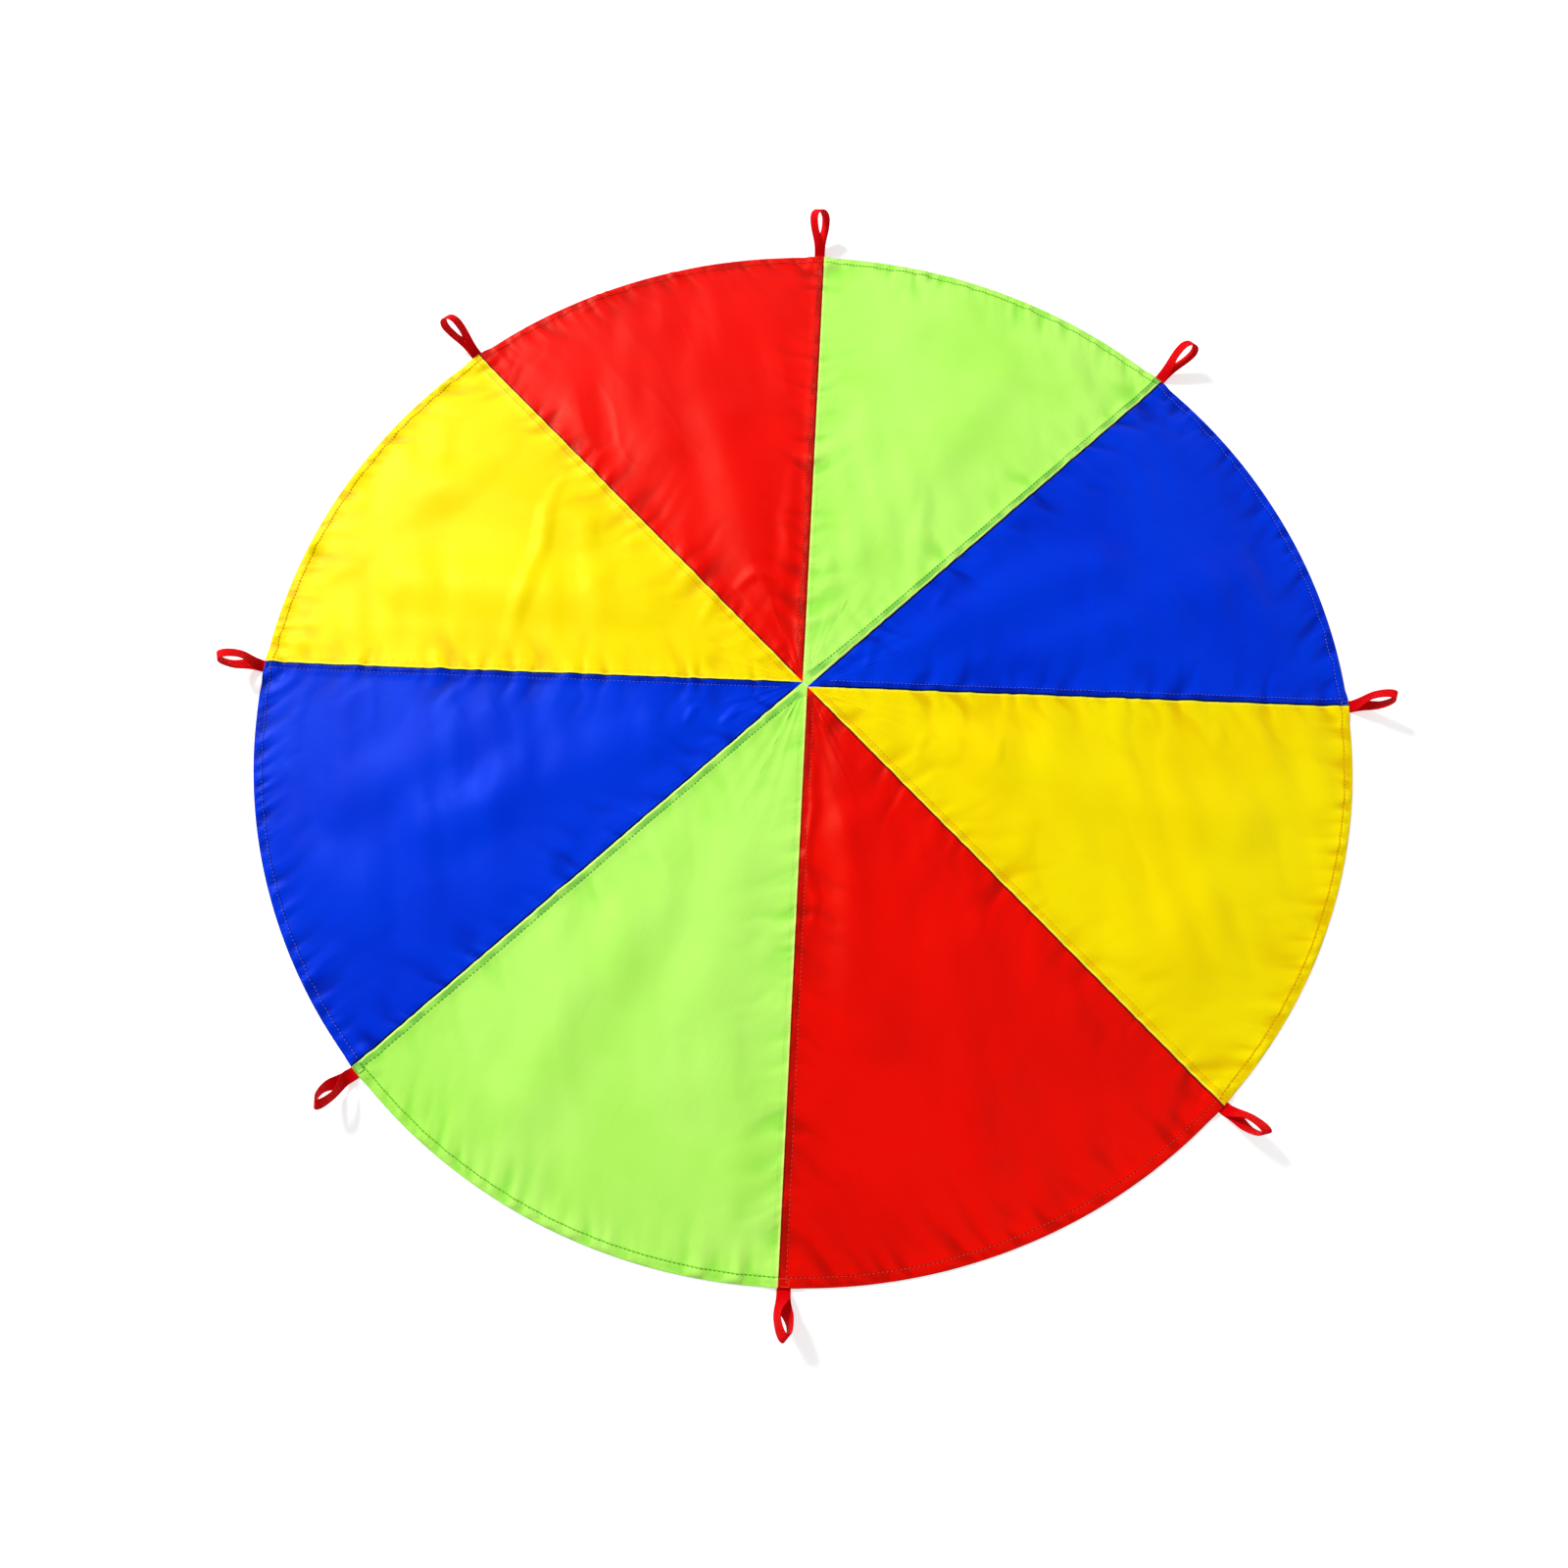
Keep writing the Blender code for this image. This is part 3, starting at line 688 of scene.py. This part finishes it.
# distances on the flat cut come in pairs: where a mark starts and where it is full
satin = {
    "gloss": {"green": (0.9, 1.0, 0.6), "blue": (0.08, 0.40, 1.0),
              "yellow": (1.0, 0.90, 0.10), "red": (1.0, 0.58, 0.40)},
    "specular": 0.26,
    "roughness": (0.40, 0.50),
    "bump": 0.00016,
    "threadScale": 520.0,     # weave, 0.6 mm apart
    "slubs": (380, 9, 1),
    # share of painted shade in the soft patches, for the satin's changing sheen
    "sheenShadeShare": 0.45,
    "slubShare": 0.14,
    "bandOn": (0.0026, 0.0042),     # the lap beside the last seam
    "bandOff": (0.0112, 0.0134),
    "edgeLast": (0.0022, 0.0036),     # folded edges: painted highlight on green and yellow, painted shadow on blue and red
    "edgeFirst": (0.0022, 0.0040),
    "apexOff": (0.890, 0.905),     # the laps end short of the centre, by the distance from the rim
    "rimOff": (0.0010, 0.0024),     # shaded where the hem turns under
    "rimShare": 0.75,
    "grooveShadeOn": (0.0128, 0.0138),     # painted shade in the groove where the cloth is drawn in along the hem's stitches
    "grooveShadeOff": (0.0148, 0.0162),
    "printOn": (0.0076, 0.0084),     # the flange's edge shows through
    "printOff": (0.0090, 0.0100),
    "lineShare": 0.22,
    "valleyDepth": 0.0016,     # a pucker this deep has its full shade
    "crumple": 0.9,     # heights, as shares of the bump
    "pucker": 5.0,
    "weave": 0.05,
    "slubHeight": 0.05,
    "puckerSeam": (0.004, 0.028),
    "puckerRim": (0.006, 0.034),
}


def makeSatinGroup():     # satin polyester with its laps, folded edges and stitch lines; painted highlight and shadow at the folded edges, painted shade in soft patches, in pucker valleys, at the rim and along the hem's stitches
    tones = [(label, "INPUT", "Float" if "Share" in label else "Color") for label in clothTones["green"]]
    tree, given, result = newGroup("satinCloth", tones + [
        ("Color", "OUTPUT", "Color"), ("Roughness", "OUTPUT", "Float"), ("Height", "OUTPUT", "Float")])
    last, first, rim, valley = (
        addNode(tree, "ShaderNodeAttribute", (-1200, 700 - 200 * row), attribute_name=name).outputs["Fac"]
        for row, name in enumerate(("fromLast", "fromFirst", "fromRim", "valley")))
    place = addNode(tree, "ShaderNodeTexCoord", (-1200, -200)).outputs["Object"]
    flat = addNode(tree, "ShaderNodeUVMap", (-1200, -500), uv_map="cut").outputs["UV"]

    clouds = noise(tree, (-900, -100), place, 4.5, 3.0)     # soft patches: painted shade for the satin's changing sheen, and rougher places
    crumple = noise(tree, (-800, -1200), place, 75.0)     # crumples under 15 mm across
    broad = noise(tree, (-800, -1900), place, 26.0)     # the laps show more in some places
    sewn = noise(tree, (-800, -1450), place, 130.0, 1.5)     # short puckers that the stitches draw up
    stretch = addNode(tree, "ShaderNodeMapping", (-1000, -400))     # long slubs along the warp
    stretch.inputs["Scale"].default_value = satin["slubs"]
    tree.links.new(flat, stretch.inputs["Vector"])
    slubs = noise(tree, (-800, -400), stretch.outputs["Vector"], 1.0)
    waves = []
    for row, direction in enumerate(("X", "Y")):     # threads of the weave
        wave = addNode(tree, "ShaderNodeTexWave", (-800, -650 - 250 * row), bands_direction=direction)
        wave.inputs["Scale"].default_value = satin["threadScale"]
        tree.links.new(flat, wave.inputs["Vector"])
        waves.append(wave.outputs["Fac"])
    weave = product(tree, (-550, -700), *waves)
    uneven = ramped(tree, (-600, -1900), broad, 0.36, 0.60, 0.30, 1.0)
    offApex = ramped(tree, (-900, 1900), rim, *satin["apexOff"], 1.0, 0.0)

    # painted shade in soft patches, standing in for the satin's changing sheen
    sheenShadeShare = ramped(tree, (-650, 0), clouds, 0.38, 0.68, 0.0, satin["sheenShadeShare"])
    slubShare = ramped(tree, (-600, -300), slubs, 0.35, 0.75, 0.0, satin["slubShare"])
    # painted shade in the pucker valleys
    valleyShade = product(tree, (-300, 800), valley, given.outputs["Painted Shade Share"])
    band = between(tree, (-600, 600), last, satin["bandOn"], satin["bandOff"])
    band = product(tree, (-450, 600), band, given.outputs["Band Share"], uneven, offApex)
    # painted highlight on green and yellow, painted shadow on blue and red, along both edges of each seam
    edge = sums(tree, (-600, 1200), "MAXIMUM", ramped(tree, (-900, 1100), last, *satin["edgeLast"], 1.0, 0.0),
                ramped(tree, (-900, 1300), first, *satin["edgeFirst"], 1.0, 0.0))
    edge = product(tree, (-450, 1200), edge, given.outputs["Edge Highlight And Shadow Share"], offApex)
    shade = ramped(tree, (-900, 900), rim, *satin["rimOff"], 1.0, 0.0)
    shade = product(tree, (-600, 900), shade, satin["rimShare"])
    # painted shade along the groove of the hem's stitches
    grooveShade = between(tree, (-600, 1600), rim, satin["grooveShadeOn"], satin["grooveShadeOff"])
    printed = between(tree, (-600, 2200), first, satin["printOn"], satin["printOff"])
    # the line mark: painted shade at the hem's stitches, and the flange's edge showing through
    line = sums(tree, (-450, 1600), "MAXIMUM", grooveShade, printed)
    line = product(tree, (-300, 1600), line, satin["lineShare"], uneven)

    colour = given.outputs["Cloth"]
    layers = ((sheenShadeShare, "Deep"), (slubShare, "Deep"), (valleyShade, "Painted Shade"), (band, "Band"), (edge, "Edge Highlight And Shadow"),
              (shade, "Painted Shade"), (line, "Band"))
    for step, (share, label) in enumerate(layers):
        colour = mixColours(tree, (-350 + 180 * step, 300), share, colour, given.outputs[label])
    tree.links.new(colour, result.inputs["Color"])

    rough = ramped(tree, (200, -200), clouds, 0.3, 0.75, *satin["roughness"])
    tree.links.new(rough, result.inputs["Roughness"])
    nearest = sums(tree, (-750, -1650), "MINIMUM", last, first)
    nearSeam = ramped(tree, (-600, -1500), nearest, *satin["puckerSeam"], 1.0, 0.0)
    nearRim = ramped(tree, (-600, -1750), rim, *satin["puckerRim"], 1.0, 0.0)
    sewnShare = sums(tree, (-400, -1600), "MAXIMUM", nearSeam, nearRim)
    height = product(tree, (100, -700), weave, satin["weave"])
    height = sums(tree, (300, -800), "ADD", height, product(tree, (100, -900), crumple, satin["crumple"]))
    height = sums(tree, (450, -900), "ADD", height, product(tree, (100, -1100), slubs, satin["slubHeight"]))
    puckered = product(tree, (-400, -1450), sewn, satin["pucker"], sewnShare)
    height = sums(tree, (600, -1000), "ADD", height, puckered)
    tree.links.new(height, result.inputs["Height"])
    return tree


def finishMaterial(name, group, values, bump, settings):     # one material round a group
    surface = bpy.data.materials.new(name)
    surface.use_nodes = True
    tree = surface.node_tree
    shader = tree.nodes["Principled BSDF"]
    look = addNode(tree, "ShaderNodeGroup", (-500, 100), node_tree=group)
    for label, value in values.items():
        look.inputs[label].default_value = (*linear(value), 1) if isinstance(value, tuple) else value
    raised = addNode(tree, "ShaderNodeBump", (-250, -200))
    raised.inputs["Strength"].default_value = 1.0
    raised.inputs["Distance"].default_value = bump
    tree.links.new(look.outputs["Color"], shader.inputs["Base Color"])
    tree.links.new(look.outputs["Roughness"], shader.inputs["Roughness"])
    tree.links.new(look.outputs["Height"], raised.inputs["Height"])
    tree.links.new(raised.outputs["Normal"], shader.inputs["Normal"])
    for label, value in settings.items():
        shader.inputs[label].default_value = value
    return surface


satinGroup = makeSatinGroup()
clothMaterials = {}
for tone, values in clothTones.items():
    gloss = {"Specular IOR Level": satin["specular"], "Specular Tint": (*linear(satin["gloss"][tone]), 1)}
    clothMaterials[tone] = finishMaterial(tone + "Satin", satinGroup, values, satin["bump"], gloss)

for index, tone in enumerate(gores):
    piece = makeGore(index)
    piece.data.materials.append(clothMaterials[tone])
    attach(piece, "canopy")
    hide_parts(f"gore_{index + 1}_{tone}")
print("gores done")


# webbing handles: each is one strip, from the lower sewn end round the loop to the upper one

def slopeAt(along, rise):     # the folded strip's slope at a distance from the hinge
    return rise * float(smooth((along - handles["bendFrom"]) / handles["bendLength"]))


def handleMiddle(along, rise):     # middle line of the folded strip: out and up
    steps = handles["slopeSteps"]
    start = min(along, 0.0)
    out, up = start, 0.0
    length = along - start
    for step in range(steps):
        slope = slopeAt(start + length * (step + 0.5) / steps, rise)
        out += length / steps * math.cos(slope)
        up += length / steps * math.sin(slope)
    return out, up


def handleOutline(index):     # distance along the strip's middle line, and from it, right round
    root = handles["layerGap"] / 2 + handles["webbing"] / 2
    reach = handles["openingShares"][index] * handles["opening"] / 2 + handles["webbing"] / 2 - root
    back = -(tabStack / 2 + handles["hingeGap"] + handles["tabOverhang"] + handles["tabLength"])
    length = handles["lengthShares"][index] * handles["length"]
    widest = handles["widestShares"][index] * length
    tabSteps, sideSteps, tipSteps = handles["stripSteps"]
    strand = [(back - back * step / tabSteps, root) for step in range(tabSteps)]
    for step in range(sideSteps + 1):
        share = step / sideSteps
        strand.append((share * widest, root + reach * float(smooth(share))))
    tip = []
    reachOut = length - handles["webbing"] / 2 - widest
    for step in range(1, tipSteps):
        turn = math.pi * (0.5 - step / tipSteps)
        tip.append((widest + reachOut * math.cos(turn), (root + reach) * math.sin(turn)))
    return [(along, -apart) for along, apart in strand + tip] + strand[::-1]


def makeHandle(index):
    rise, lean, roll = (math.radians(handles[key][index]) for key in ("rises", "leans", "rolls"))
    out, side = outward(index), anticlockwise(index)
    hinge = out * hingeRadius + side * handles["shares"][index] * handles["width"]
    places, sides = [], []
    reach = handles["lengthShares"][index] * handles["length"]
    for along, apart in handleOutline(index):
        middleOut, middleUp = handleMiddle(along, rise)
        slope = slopeAt(along, rise)
        turned = roll * float(smooth(along / handles["rollLength"]))
        aside = apart * math.sin(turned) + math.tan(lean) * along * abs(along) / reach * (along > 0)
        lift = apart * math.cos(turned)
        places.append((middleOut - lift * math.sin(slope), aside, middleUp + lift * math.cos(slope)))
        tilt = math.sin(turned)
        sides.append((tilt * math.sin(slope), math.cos(turned), -tilt * math.cos(slope)))
    places, sides = np.array(places), np.array(sides)
    length = np.concatenate(([0], np.cumsum(np.linalg.norm(np.diff(places, axis=0), axis=1))))

    steps = len(places) - 1
    bpy.ops.mesh.primitive_grid_add(x_subdivisions=steps, y_subdivisions=handles["acrossSteps"], size=1)
    thing = bpy.context.object
    thing.name = thing.data.name = f"handle_{index + 1}_webbing"
    count = len(thing.data.vertices)
    grid = np.empty(count * 3)
    thing.data.vertices.foreach_get("co", grid)
    grid = grid.reshape(-1, 3)
    step = np.rint((grid[:, 0] + 0.5) * steps).astype(int)
    across = grid[:, 1] * handles["width"]
    local = places[step] + sides[step] * across[:, None]
    world = np.empty((count, 3))
    world[:, :2] = hinge + local[:, :1] * out + local[:, 1:2] * side
    world[:, 2] = tabStack / 2 + local[:, 2]
    thing.data.vertices.foreach_set("co", world.ravel())
    while thing.data.uv_layers:
        thing.data.uv_layers.remove(thing.data.uv_layers[0])
    addFlatMap(thing, np.stack((length[step], across), axis=1))
    addModifier(thing, "SOLIDIFY", thickness=handles["webbing"], offset=0.0)
    addModifier(thing, "BEVEL", width=handles["edgeRound"], segments=2, limit_method="ANGLE",
                angle_limit=math.radians(60))
    bpy.ops.object.shade_smooth_by_angle(angle=math.radians(55))
    return thing, hinge, out, rise


def makeWebbingGroup():     # woven webbing: rows of ribs
    tree, given, result = newGroup("wovenWebbing", (
        ("Webbing", "INPUT", "Color"), ("Deep", "INPUT", "Color"),
        ("Color", "OUTPUT", "Color"), ("Roughness", "OUTPUT", "Float"), ("Height", "OUTPUT", "Float")))
    flat = addNode(tree, "ShaderNodeUVMap", (-1200, -300), uv_map="cut").outputs["UV"]
    place = addNode(tree, "ShaderNodeTexCoord", (-1200, 200)).outputs["Object"]
    waves = []
    for direction, scale in (("X", 240.0), ("Y", 285.0), ("DIAGONAL", 200.0)):     # ribs, cords and their slant
        wave = addNode(tree, "ShaderNodeTexWave", (-900, -300 * len(waves)), bands_direction=direction)
        wave.inputs["Scale"].default_value = scale
        tree.links.new(flat, wave.inputs["Vector"])
        waves.append(wave.outputs["Fac"])
    ribs, cords, slant = waves
    woven = product(tree, (-600, -100), ribs, cords)
    woven = sums(tree, (-400, -200), "ADD", woven, product(tree, (-600, -500), slant, 0.35))
    # painted shade: the webbing darkens where the weave is low
    weaveShadeShare = ramped(tree, (-300, 100), woven, 0.15, 0.75, 0.45, 0.0)
    patches = ramped(tree, (-300, 350), noise(tree, (-900, 300), place, 60.0), 0.4, 0.7, 0.0, 0.3)
    colour = mixColours(tree, (0, 200), weaveShadeShare, given.outputs["Webbing"], given.outputs["Deep"])
    colour = mixColours(tree, (250, 200), patches, colour, given.outputs["Deep"])
    tree.links.new(colour, result.inputs["Color"])
    tree.links.new(ramped(tree, (0, -100), woven, 0.1, 0.9, 0.80, 0.58), result.inputs["Roughness"])
    tree.links.new(woven, result.inputs["Height"])
    return tree


webbingMaterial = finishMaterial("redWebbing", makeWebbingGroup(), handles["colours"],
                                 handles["weaveBump"], handles["gloss"])
for index in range(len(gores)):
    piece, hinge, out, rise = makeHandle(index)
    piece.data.materials.append(webbingMaterial)
    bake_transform(piece)
    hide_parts(f"handle_tab_{index + 1}", f"handle_loop_{index + 1}")
print("handles done")


# stitches: one is modelled and copied along each line

stitch = {
    "pitch": 0.0066,
    "length": 0.0044,
    "thread": 0.00050,     # half its thickness
    "raise": 0.00012,
    "showing": (0.17, 0.66),     # where a stitch starts in its pitch, and the share that it takes
    "colours": {"green": (0.34, 0.64, 0.14), "blue": (0.40, 0.50, 0.98),
                "yellow": (0.96, 0.78, 0.03), "red": (1.00, 0.30, 0.22)},
    "bump": 0.00008,
    "hemEnds": 0.004,     # angle left free at each end of the hem's line
    "seamFrom": 0.040,
    "seamBack": 0.004,
    "boxLong": 0.0100,     # the stitched box over each handle's sewn end
    "boxWide": 0.0140,
    "boxBack": 0.0028,     # from the rim
    "boxLeast": 0.0015,
    "boxPitch": 0.0028,
}


def stitchModel():
    bpy.ops.mesh.primitive_uv_sphere_add(segments=6, ring_count=4, radius=1.0, rotation=(0, math.pi / 2, 0))
    model = bpy.context.object
    bpy.ops.object.transform_apply(location=True, rotation=True, scale=True)
    size = (stitch["length"] / 2, stitch["thread"], stitch["thread"])
    points = np.array([v.co for v in model.data.vertices])
    order = np.lexsort(np.round(points, 4).T)     # the sphere's points come in a new order each time
    number = np.argsort(order)
    faces = []
    for face in model.data.polygons:
        ring = [int(number[v]) for v in face.vertices]
        first = ring.index(min(ring))
        faces.append(ring[first:] + ring[:first])
    bpy.data.objects.remove(model)
    return points[order] * size, sorted(faces)


def stitchLine(index, x, y):     # a line of places, laid on the cloth's upper face
    radius, bearing, gore, angle = seamPlaces(x, y)[:4]
    level = layerRise(radius, angle) + canopy["cloth"]
    return layPoints(index, radius, bearing - index * goreAngle, level)


def joinStitches(name, runs):     # runs: pairs of end points, one pair for each stitch
    points, faces = stitchModel()
    ends = np.concatenate(runs)
    middle = (ends[:, 0] + ends[:, 1]) / 2
    ahead = ends[:, 1] - ends[:, 0]
    ahead /= np.linalg.norm(ahead, axis=1, keepdims=True)
    aside = np.cross((0, 0, 1), ahead)
    aside /= np.linalg.norm(aside, axis=1, keepdims=True)
    above = np.cross(ahead, aside)
    up = points[None, :, 2:] + stitch["raise"] + stitch["thread"] * 0.5
    allPoints = (middle[:, None] + points[None, :, :1] * ahead[:, None] + points[None, :, 1:2] * aside[:, None]
                 + up * above[:, None])
    allFaces = [[number + copy * len(points) for number in face]
                for copy in range(len(middle)) for face in faces]
    return meshObject(name, allPoints.reshape(-1, 3).tolist(), allFaces)


def alongPath(index, x, y, pitch):     # end points of stitches at an even pitch
    path = stitchLine(index, x, y)
    run = np.concatenate(([0], np.cumsum(np.linalg.norm(np.diff(path, axis=0), axis=1))))
    count = max(int(run[-1] / pitch), 1)
    gap, share = stitch["showing"]
    starts = np.arange(count) * pitch + pitch * gap
    ends = [np.stack([np.interp(at, run, path[:, axis]) for axis in range(3)], axis=-1)
            for at in (starts, starts + pitch * share)]
    return np.stack(ends, axis=1)


def goreStitches(index):
    edge, pitch = canopy["radius"], stitch["pitch"]
    hemLine = edge - canopy["hemStitch"]
    bearing = np.linspace(stitch["hemEnds"], goreAngle - stitch["hemEnds"], 900) + index * goreAngle
    runs = [alongPath(index, hemLine * np.sin(bearing), hemLine * np.cos(bearing), pitch)]
    distance = np.linspace(stitch["seamFrom"], edge - stitch["seamBack"], 900)     # beside the last seam
    bearing = (index + 1) * goreAngle - np.arcsin(canopy["seamStitch"] / distance)
    runs.append(alongPath(index, distance * np.sin(bearing), distance * np.cos(bearing), pitch))

    side, out = anticlockwise(index + 1), outward(index + 1)     # box over the handle at the last seam
    middle = handles["shares"][(index + 1) % len(gores)] * handles["width"]
    left, right = middle + stitch["boxWide"] / 2, max(middle - stitch["boxWide"] / 2, stitch["boxLeast"])
    far, near = edge - stitch["boxBack"], edge - stitch["boxBack"] - stitch["boxLong"]
    corners = [(near, left), (far, left), (far, right), (near, right), (near, left)]
    for (alongA, asideA), (alongB, asideB) in zip(corners, corners[1:]):
        share = np.linspace(0, 1, 40)
        along, aside = alongA + (alongB - alongA) * share, asideA + (asideB - asideA) * share
        x, y = along * out[0] + aside * side[0], along * out[1] + aside * side[1]
        runs.append(alongPath(index, x, y, stitch["boxPitch"]))
    return joinStitches(f"stitching_{index + 1}_{gores[index]}", runs)


def makeThreadGroup():     # twisted sewing thread
    tree, given, result = newGroup("sewingThread", (
        ("Thread", "INPUT", "Color"),
        ("Color", "OUTPUT", "Color"), ("Roughness", "OUTPUT", "Float"), ("Height", "OUTPUT", "Float")))
    place = addNode(tree, "ShaderNodeTexCoord", (-900, 0))
    twist = addNode(tree, "ShaderNodeTexWave", (-650, 0), bands_direction="DIAGONAL")
    twist.inputs["Scale"].default_value = 700.0
    tree.links.new(place.outputs["Object"], twist.inputs["Vector"])
    # painted shade: the thread darkens where its twist is low
    dark = mixColours(tree, (-300, 200), 0.35, given.outputs["Thread"], (0.02, 0.02, 0.02, 1))
    twistShadeShare = ramped(tree, (-400, -50), twist.outputs["Fac"], 0.0, 0.8, 0.45, 0.0)
    colour = mixColours(tree, (0, 200), twistShadeShare, given.outputs["Thread"], dark)
    tree.links.new(colour, result.inputs["Color"])
    rough = ramped(tree, (-200, -200), twist.outputs["Fac"], 0.0, 1.0, 0.7, 0.5)
    tree.links.new(rough, result.inputs["Roughness"])
    tree.links.new(twist.outputs["Fac"], result.inputs["Height"])
    return tree


threadGroup = makeThreadGroup()
threadMaterials = {}
for tone, colour in stitch["colours"].items():
    threadMaterials[tone] = finishMaterial(tone + "Thread", threadGroup, {"Thread": colour}, stitch["bump"],
                                           {"Specular IOR Level": 0.15})
for index, tone in enumerate(gores):
    piece = goreStitches(index)
    piece.data.materials.append(threadMaterials[tone])
    pick(piece)
    bpy.ops.object.shade_smooth()
    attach(piece, "canopy")
print("stitching done")

bpy.ops.object.select_all(action="DESELECT")
